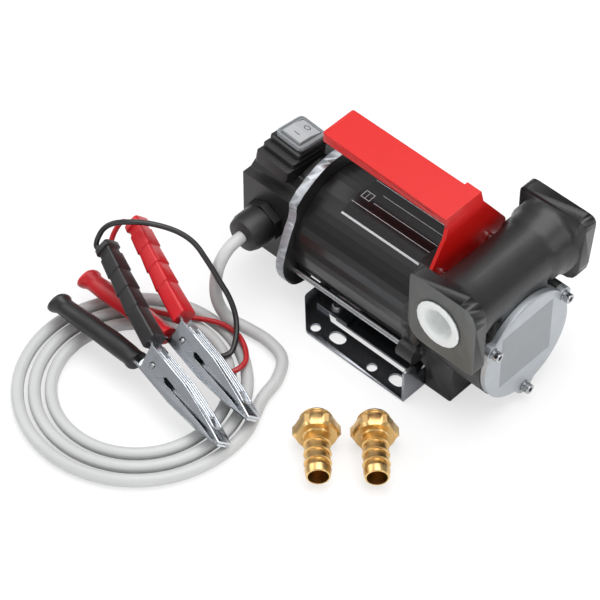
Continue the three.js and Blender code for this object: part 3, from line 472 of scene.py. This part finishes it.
# %% Build and run a tree
def new_tree(name, inputs):
    tree = bpy.data.node_groups.new(name, "GeometryNodeTree")
    tree.interface.new_socket("Geometry", in_out="OUTPUT", socket_type="NodeSocketGeometry")
    for label, kind in inputs:
        tree.interface.new_socket(label, in_out="INPUT", socket_type="NodeSocket" + kind)
    return tree, tree.nodes.new("NodeGroupInput").outputs, tree.nodes.new("NodeGroupOutput").inputs


def grow(tree, name, points=(), **values):
    """Runs a tree on a mesh of loose points, and returns the result as a plain mesh."""
    base = bpy.data.meshes.new(name + "_points")
    base.from_pydata([tuple(p) for p in points], [], [])
    holder = bpy.data.objects.new(name + "_holder", base)
    bpy.context.scene.collection.objects.link(holder)
    modifier = holder.modifiers.new(name, "NODES")
    modifier.node_group = tree
    sockets = {s.name: s.identifier for s in tree.interface.items_tree if s.in_out == "INPUT"}
    for label, value in values.items():
        modifier[sockets[label]] = value
    bpy.context.view_layer.update()
    made = holder.evaluated_get(bpy.context.evaluated_depsgraph_get())
    mesh = bpy.data.meshes.new_from_object(made)
    bpy.data.objects.remove(holder)
    return mesh


# %% The tree that stands a template on points
stand, given, result = new_tree("stand_on_points", [
    ("Geometry", "Geometry"), ("Template", "Object"), ("Turn", "Vector"), ("Finish", "Material")])
dots = node(stand, "GeometryNodeMeshToPoints", Mesh=given["Geometry"])
info = node(stand, "GeometryNodeObjectInfo", Object=given["Template"])
copies = node(stand, "GeometryNodeInstanceOnPoints", Points=dots.outputs[0],
              Instance=info.outputs["Geometry"], Rotation=given["Turn"])
real = node(stand, "GeometryNodeRealizeInstances", Geometry=copies.outputs[0])
coloured = node(stand, "GeometryNodeSetMaterial", Geometry=real.outputs[0], Material=given["Finish"])
stand.links.new(coloured.outputs[0], result["Geometry"])

# %% The tree that winds a wire
wind, given, result = new_tree("wind_wire", [
    ("Turns", "Float"), ("Radius", "Float"), ("Height", "Float"), ("Wire", "Float"), ("Finish", "Material")])
spiral = node(wind, "GeometryNodeCurveSpiral", {"Resolution": 28}, Rotations=given["Turns"],
              Start_Radius=given["Radius"], End_Radius=given["Radius"], Height=given["Height"])
wire = node(wind, "GeometryNodeCurvePrimitiveCircle", {"Resolution": 8}, Radius=given["Wire"])
swept = node(wind, "GeometryNodeCurveToMesh", {"Fill Caps": True}, Curve=spiral.outputs[0],
             Profile_Curve=wire.outputs[0])
real = node(wind, "GeometryNodeRealizeInstances", Geometry=swept.outputs[0])
coloured = node(wind, "GeometryNodeSetMaterial", Geometry=real.outputs[0], Material=given["Finish"])
wind.links.new(coloured.outputs[0], result["Geometry"])
print("trees:", [t.name for t in bpy.data.node_groups])

# %% [markdown]
# ## Screws
# The cover is held by three socket cap screws on washers. Two pan head screws hold the motor's cradle to
# the plate, and two hexagon bolts hold the plate's lip. One template is drawn with its seat at the origin
# and its head along Z, and the tree repeats it.

# %% Lofted rings
def loft(name, rings, cap=True):
    """Joins rings of equally many points into one skin. A ring is a list of points in millimetres."""
    bm = bmesh.new()
    made = [[bm.verts.new(Vector(p) * MM) for p in ring] for ring in rings]
    n = len(rings[0])
    for low, high in zip(made, made[1:]):
        for k in range(n):
            bm.faces.new((low[k], low[(k + 1) % n], high[(k + 1) % n], high[k]))
    if cap:
        bm.faces.new(made[0][::-1])
        bm.faces.new(made[-1])
    return to_mesh(bm, name)


def round_ring(r, z, n=48):
    return [(r * math.cos(2 * math.pi * k / n), r * math.sin(2 * math.pi * k / n), z) for k in range(n)]


UNTRIMMED = 99.0


def hex_ring(across_flats, z, limit=UNTRIMMED, n=48):
    """A hexagon whose corners are trimmed to the radius limit, as a chamfer does."""
    out = []
    for k in range(n):
        a = 2 * math.pi * k / n
        r = min(across_flats / 2 / math.cos((a + math.pi / 6) % (math.pi / 3) - math.pi / 6), limit)
        out.append((r * math.cos(a), r * math.sin(a), z))
    return out


def stood_on(name, template, points, turn, stands_for=()):
    """Copies of a steel screw's mesh on points in millimetres, as one piece of the frame."""
    holder = bpy.data.objects.new(name + "_template", template)
    bpy.context.scene.collection.objects.link(holder)
    mesh = grow(stand, name, [Vector(p) * MM for p in points], Template=holder, Turn=turn,
                Finish=FINISHES["turned_steel"])
    bpy.data.objects.remove(holder)
    return keep(name, mesh, "turned_steel", "frame", stands_for)


# %% Socket cap screws of the cover
SHAFT_Z, COVER_END = 60.5, 132.6
SCREW_CIRCLE, SCREW_HEAD, WASHER = 47, 5.9, 0.9
TO_PLUS_X, TO_MINUS_X = (0, math.pi / 2, 0), (0, -math.pi / 2, 0)
cap_screw = loft("cap_screw", [
    round_ring(2.5, -9), round_ring(2.5, 0.3), round_ring(5.0, 0.3), round_ring(5.0, WASHER),
    round_ring(4.0, WASHER), round_ring(4.2, WASHER + 0.3), round_ring(4.2, SCREW_HEAD),
    round_ring(3.8, SCREW_HEAD + 0.4), hex_ring(4, SCREW_HEAD + 0.4), hex_ring(4, SCREW_HEAD - 2.6)])
around = [math.radians(a) for a in (30, 150, 270)]
places = [(COVER_END, SCREW_CIRCLE * math.cos(a), SHAFT_Z + SCREW_CIRCLE * math.sin(a)) for a in around]
cover_screws = stood_on("cover_screws", cap_screw, places, TO_PLUS_X,
                        ["cover_screw_1", "cover_screw_2", "cover_screw_3"])

# %% Screws and bolts of the plate
CRADLE_TOP = 5.3
pan_screw = loft("pan_screw", [
    round_ring(2.4, -4), round_ring(2.4, 0.1), round_ring(5.4, 0.1), round_ring(5.4, 1.0),
    round_ring(4.4, 1.0), round_ring(4.4, 2.2), round_ring(3.6, 3.1), round_ring(1.2, 3.3),
    round_ring(1.0, 2.2)])
cradle_screws = stood_on("cradle_screws", pan_screw, [(-31, y, CRADLE_TOP) for y in (-34, 34)], (0, 0, 0))
hex_bolt = loft("hex_bolt", [
    round_ring(2.9, -4), round_ring(2.9, 0.1), hex_ring(10, 0.1), hex_ring(10, 3.2), hex_ring(10, 4, 5.0),
    round_ring(2, 4.1)])
lip_bolts = stood_on("lip_bolts", hex_bolt, [(66.8, y, 10) for y in (-35, 35)], TO_MINUS_X)
print("screw triangles:", [sum(len(p.vertices) - 2 for p in o.data.polygons)
                           for o in (cover_screws, cradle_screws, lip_bolts)])

# %% [markdown]
# ## Brass hose tails
# Each tail has a thread for the port, a hexagon for the spanner and three barbs for the hose. It is turned
# from bar, so it is lofted from rings about its own axis, and the thread is a wire wound round it. The two
# tails lie on a flat of the hexagon, beside the pump.

# %% Hose tails
HEX_TAIL, TAIL_LENGTH, TAIL_BORE, TAIL_SIDES = 32, 58, 8, 72
TAIL_PLACES = {"left": (40, -134.5), "right": (72.5, -105)}


def tail_mesh(name, place):
    """A tail and its thread. The profile is (radius, distance from the thread's end)."""
    profile = [(TAIL_BORE, 0), (11.6, 0), (12.3, 1.2), (12.3, 7.2), (11.7, 7.6), (11.7, 8)]
    rings = [round_ring(r, z, TAIL_SIDES) for r, z in profile]
    rings += [hex_ring(HEX_TAIL, z, limit, TAIL_SIDES)
              for z, limit in ((8, 15.6), (9.6, UNTRIMMED), (17.4, UNTRIMMED), (19, 15.6))]
    profile = [(10.6, 19), (9.6, 20), (9.6, 24)]
    for i in range(3):
        profile += [(10.6, 27 + 9 * i), (10.7, 27.6 + 9 * i), (9.1, 28.2 + 9 * i), (9.2, 31 + 9 * i)]
    profile += [(10.2, 51), (10.3, 52.4), (9.2, TAIL_LENGTH - 0.4), (8.8, TAIL_LENGTH),
                (TAIL_BORE, TAIL_LENGTH), (TAIL_BORE, 0)]
    rings += [round_ring(r, z, TAIL_SIDES) for r, z in profile]
    mesh = loft(name, rings, cap=False)
    lie = Matrix.Translation(Vector((*place, HEX_TAIL / 2)) * MM) @ Matrix.Rotation(math.radians(-45), 4, "Z")
    lie = lie @ Matrix.Rotation(math.pi / 2, 4, "Y")
    mesh.transform(lie)
    thread = grow(wind, name + "_thread", Turns=3.2, Radius=12.5 * MM, Height=5.4 * MM, Wire=0.62 * MM,
                  Finish=FINISHES["turned_brass"])
    thread.transform(lie @ Matrix.Translation((0, 0, 1.4 * MM)))
    return mesh, thread


for side, place in TAIL_PLACES.items():
    mesh, thread = tail_mesh(f"brass_tail_{side}", place)
    keep(f"brass_tail_{side}", mesh, "turned_brass", "frame", [f"hose_tail_{side}"], 30)
    keep(f"tail_thread_{side}", thread, "turned_brass", "frame", (), 60)
print("tails at", TAIL_PLACES)

# %% [markdown]
# ## Battery clamps
# A clamp is two bent steel levers on a pin with a wound spring. The upper lever carries two raised loops,
# one inside the other, and each handle has a soft vinyl sleeve: the upper one boxy with steps for the
# fingers, the lower one round with flared ends. Each is drawn in the clamp's own frame, with X towards the
# jaw tips.

# %% The clamp's frame
LEVER = [(LEVER_END, LEVER_RISE), (-40, 14.5), (-16, 10.2), (-12, 9.5), (30, 9.5), (62, 6), (85, 1.4)]


def lever_height(x):
    """How far a lever stands off the clamp's middle at x, carried on in a straight line past its end."""
    xs, zs = zip(*LEVER)
    slope = (zs[1] - zs[0]) / (xs[1] - xs[0])
    return zs[0] + (x - xs[0]) * slope if x < xs[0] else float(np.interp(x, xs, zs))


def clamp_frame(colour):
    axes = Matrix((FORWARD, ACROSS, UPWARD)).transposed().to_4x4()
    return Matrix.Translation(PIVOTS[colour] * MM) @ axes


def sleeve(name, sign, stations, squareness, n=40):
    """A soft sleeve on a lever. A station is (x, half width, half thickness); squareness 2 is an ellipse."""
    rings = []
    for x, half_y, half_z in stations:
        ring = []
        for k in range(n):
            a = 2 * math.pi * k / n
            c, s = math.cos(a), math.sin(a)
            ring.append((x, half_y * math.copysign(abs(c) ** (2 / squareness), c),
                         sign * lever_height(x) + half_z * math.copysign(abs(s) ** (2 / squareness), s)))
        rings.append(ring)
    return loft(name, rings)


UPPER_SLEEVE = [(-100, 5, 3.6), (-103.6, 6, 4.2), (-103.9, 9.6, 6.8), (-103, 10.4, 7.4), (-99.4, 10.5, 7.5),
                (-98.8, 8.6, 6.0), (-94.2, 8.6, 6.0), (-93.4, 10.0, 6.9), (-79, 10.5, 7.3), (-78.4, 9.5, 6.4),
                (-76.5, 9.6, 6.5), (-62.4, 10.5, 7.3), (-61.8, 9.5, 6.4), (-60, 9.6, 6.5), (-45.4, 10.5, 7.3),
                (-44.8, 9.7, 6.5), (-43, 9.8, 6.6), (-17, 10.5, 7.2), (-16, 10.1, 6.8), (-16, 7.6, 3.4)]
LOWER_SLEEVE = [(-100, 6.4, 5.8), (-103.7, 6.8, 6.2), (-103.9, 9.4, 8.6), (-103.0, 10.2, 9.4),
                (-100.5, 10.2, 9.3), (-98, 8.4, 7.6), (-93, 8.3, 7.4), (-84, 9.2, 7.9), (-68, 9.8, 8.2),
                (-62, 9.2, 7.8), (-46, 10, 8.3), (-28, 9.8, 8.0), (-22, 9.2, 7.6), (-18.4, 10, 8.4),
                (-16.4, 10, 8.3), (-16, 9, 7.2), (-16, 7.4, 3.4)]

# %% Make both clamps
for colour in PIVOTS:
    place, jaw_body = clamp_frame(colour), f"{colour}_jaw"
    for part, sign, stations, square, body in (("upper", 1, UPPER_SLEEVE, 5.5, jaw_body),
                                               ("lower", -1, LOWER_SLEEVE, 2.4, "frame")):
        mesh = sleeve(f"{colour}_{part}_sleeve", sign, stations, square)
        mesh.transform(place)
        made = keep(f"{colour}_{part}_sleeve", mesh, f"{colour}_vinyl", body, [f"{colour}_{part}_grip"],
                    50)
        dressed(f"{colour}_{part}_jaw", f"{colour}_{part}_lever", "bright_zinc")
    dressed(f"{colour}_clamp_pin", f"{colour}_pin", "turned_steel")
    coil = grow(wind, f"{colour}_coil", Turns=6.0, Radius=5.4 * MM, Height=10.2 * MM, Wire=0.82 * MM,
                Finish=FINISHES["turned_steel"])
    coil.transform(place @ Matrix.Rotation(-math.pi / 2, 4, "X") @ Matrix.Translation((0, 0, -5.1 * MM)))
    keep(f"{colour}_coil", coil, "turned_steel", "frame", [f"{colour}_clamp_spring"], 60)
    for half, inset in ((6.1, 0), (2.3, 7)):
        loop = [(x, half, lever_height(x) + 1.1) for x in range(-4 + inset, 73 - inset, 4)]
        loop += [(x, -half, z) for x, half, z in reversed(loop)]
        route = [place @ (Vector(p) * MM) for p in smooth_route(loop, 3)]
        keep(f"{colour}_rib_{inset}", tube_mesh(f"{colour}_rib_{inset}", route, 0.8 * MM, 8), "bright_zinc",
             jaw_body, (), 60)
    lead, route = lead_pieces[colour]
print("clamp pieces made")

# %% The cable's boot
BOOT = [(0, 5.05), (0.4, 5.2), (6, 5.2), (12, 5.2), (15.6, 4.9), (16, 4.5)]
BOOT_OVERLAP = 13
end = cable_route[-1]
direction = (end - cable_route[-3]).normalized()
boot_route = [end - direction * BOOT_OVERLAP * MM + direction * along * MM for along, _ in BOOT]
boot = keep("cable_boot", tube_mesh("cable_boot", boot_route, [r * MM for _, r in BOOT], 24),
            "black_sheath", "frame", (), 60)

# %% [markdown]
# ## Switch
# The rocker sits in a frame with rounded corners. The frame is lofted from rounded rectangles. Below it the
# black box steps out in three collars towards the front. The rocker carries the two usual marks, a bar and
# a ring.

# %% Switch frame and collars
SWITCH = Vector((-100.8, -3, 126))
LEAN, DIP = math.radians(-9), math.radians(5)
switch_frame = Matrix.Translation(SWITCH * MM) @ Matrix.Rotation(DIP, 4, "Y") @ Matrix.Rotation(LEAN, 4, "X")


def rounded_rectangle(width, depth, corner, z, shift=0.0, n=8):
    out = []
    for quarter, (sx, sy) in enumerate(((1, 1), (-1, 1), (-1, -1), (1, -1))):
        for k in range(n):
            a = math.pi / 2 * (quarter + k / (n - 1))
            out.append((sx * (width / 2 - corner) + corner * math.cos(a),
                        sy * (depth / 2 - corner) + corner * math.sin(a) + shift, z))
    return out


bezel = loft("switch_surround", [
    rounded_rectangle(28, 31, 4.6, 0), rounded_rectangle(28, 31, 4.6, 3.1),
    rounded_rectangle(26.6, 29.6, 4.0, 4.0), rounded_rectangle(24.4, 28.6, 3.2, 4.0),
    rounded_rectangle(23.4, 27.8, 2.8, 3.1), rounded_rectangle(20.2, 26.2, 1.2, 3.1),
    rounded_rectangle(19.8, 25.8, 1.0, 0), rounded_rectangle(28, 31, 4.6, 0)], cap=False)
bezel.transform(switch_frame)
keep("switch_surround", bezel, "grey_abs", "frame", ["switch_bezel"], 30)

collars = []
for i in range(3):
    width, depth, shift, top = 32 + 1.2 * i, 35 + 5 * i, -1.2 - 3.4 * i, -1.2 - 5.2 * i
    collars += [rounded_rectangle(width, depth, 3, z, shift) for z in (top, top - 4.4)]
collars = [rounded_rectangle(31, 34, 3, -0.4), *collars, rounded_rectangle(34, 44, 3, -22, -8)]
skirt = loft("switch_collars", collars)
skirt.transform(switch_frame)
keep("switch_collars", skirt, "black_nylon", "frame", (), 30)

# %% Rocker marks
def rocker_place(y, tilt):
    """Where a mark at y sits on the rocker's sloping top."""
    return (switch_frame @ Matrix.Translation((0, 0, 1 * MM)) @ Matrix.Rotation(math.radians(-6), 4, "X")
            @ Matrix.Translation((0, y * MM, 3.92 * MM)) @ Matrix.Rotation(math.radians(tilt), 4, "X"))


bar = loft("mark_bar", [[(-2.8, -0.35, z), (2.8, -0.35, z), (2.8, 0.35, z), (-2.8, 0.35, z)]
                        for z in (-0.2, 0.08)])
bar.transform(rocker_place(-6.2, 6.4))
keep("mark_bar", bar, "dark_print", "rocker", ())
ring = loft("mark_ring", [round_ring(2.9, -0.2), round_ring(2.9, 0.08), round_ring(2.2, 0.08),
                          round_ring(2.2, -0.2), round_ring(2.9, -0.2)], cap=False)
ring.transform(rocker_place(6.2, -6.4))
keep("mark_ring", ring, "dark_print", "rocker", ())
print("switch at", tuple(SWITCH))

# %% [markdown]
# ## Labels
# The motor carries a black label with one pale edge, four thin rules and the outline of a small box, and
# the cover a plain grey plate. Both are left bare of words. Each is a thin closed plate that follows the
# surface under it.

# %% Plates on the motor and the cover
CAN_R = 50.5


def can_plate(name, x0, x1, a0, a1, lift, finish):
    """A thin plate bent round the motor. Angles are in degrees from the top, towards the rear."""
    n = max(2, int(abs(a1 - a0) / 2) + 2)
    angles = [math.radians(a0 + (a1 - a0) * k / (n - 1)) for k in range(n)]
    high, low = CAN_R + lift, CAN_R - 0.3
    rings = []
    for x in (x0, x1):
        rings.append([(x, high * math.sin(a), SHAFT_Z + high * math.cos(a)) for a in angles]
                     + [(x, low * math.sin(a), SHAFT_Z + low * math.cos(a)) for a in reversed(angles)])
    return keep(name, loft(name, rings), finish, "frame", (), 20)


can_plate("motor_label", -36, 49, -30, 34, 0.10, "black_label")
can_plate("label_border", -36, 49, -31.6, -29.6, 0.14, "label_print")
RULES = [(-36, 49, -17), (-20, 49, -8), (-20, 49, 4), (-36, 49, 16)]
BOX_MARK = [(-33, -24, -9, -8.4), (-33, -24, -1, -0.4), (-33, -32.4, -9, -0.4), (-24.6, -24, -9, -0.4),
            (-29, -28.6, -9, -0.4)]
for i, (x0, x1, a) in enumerate(RULES):
    can_plate(f"label_rule_{i}", x0, x1, a, a + 0.5, 0.14, "label_print")
for i, (x0, x1, a0, a1) in enumerate(BOX_MARK):
    can_plate(f"label_box_{i}", x0, x1, a0, a1, 0.14, "label_print")
cover_plate = loft("cover_plate", [
    [(COVER_END + x, y, z) for y, z in ((-31, 37), (27, 37), (27, 91), (-31, 91))] for x in (-0.2, 0.12)])
keep("cover_plate", cover_plate, "plain_label", "frame", (), 20)
print("labels made")
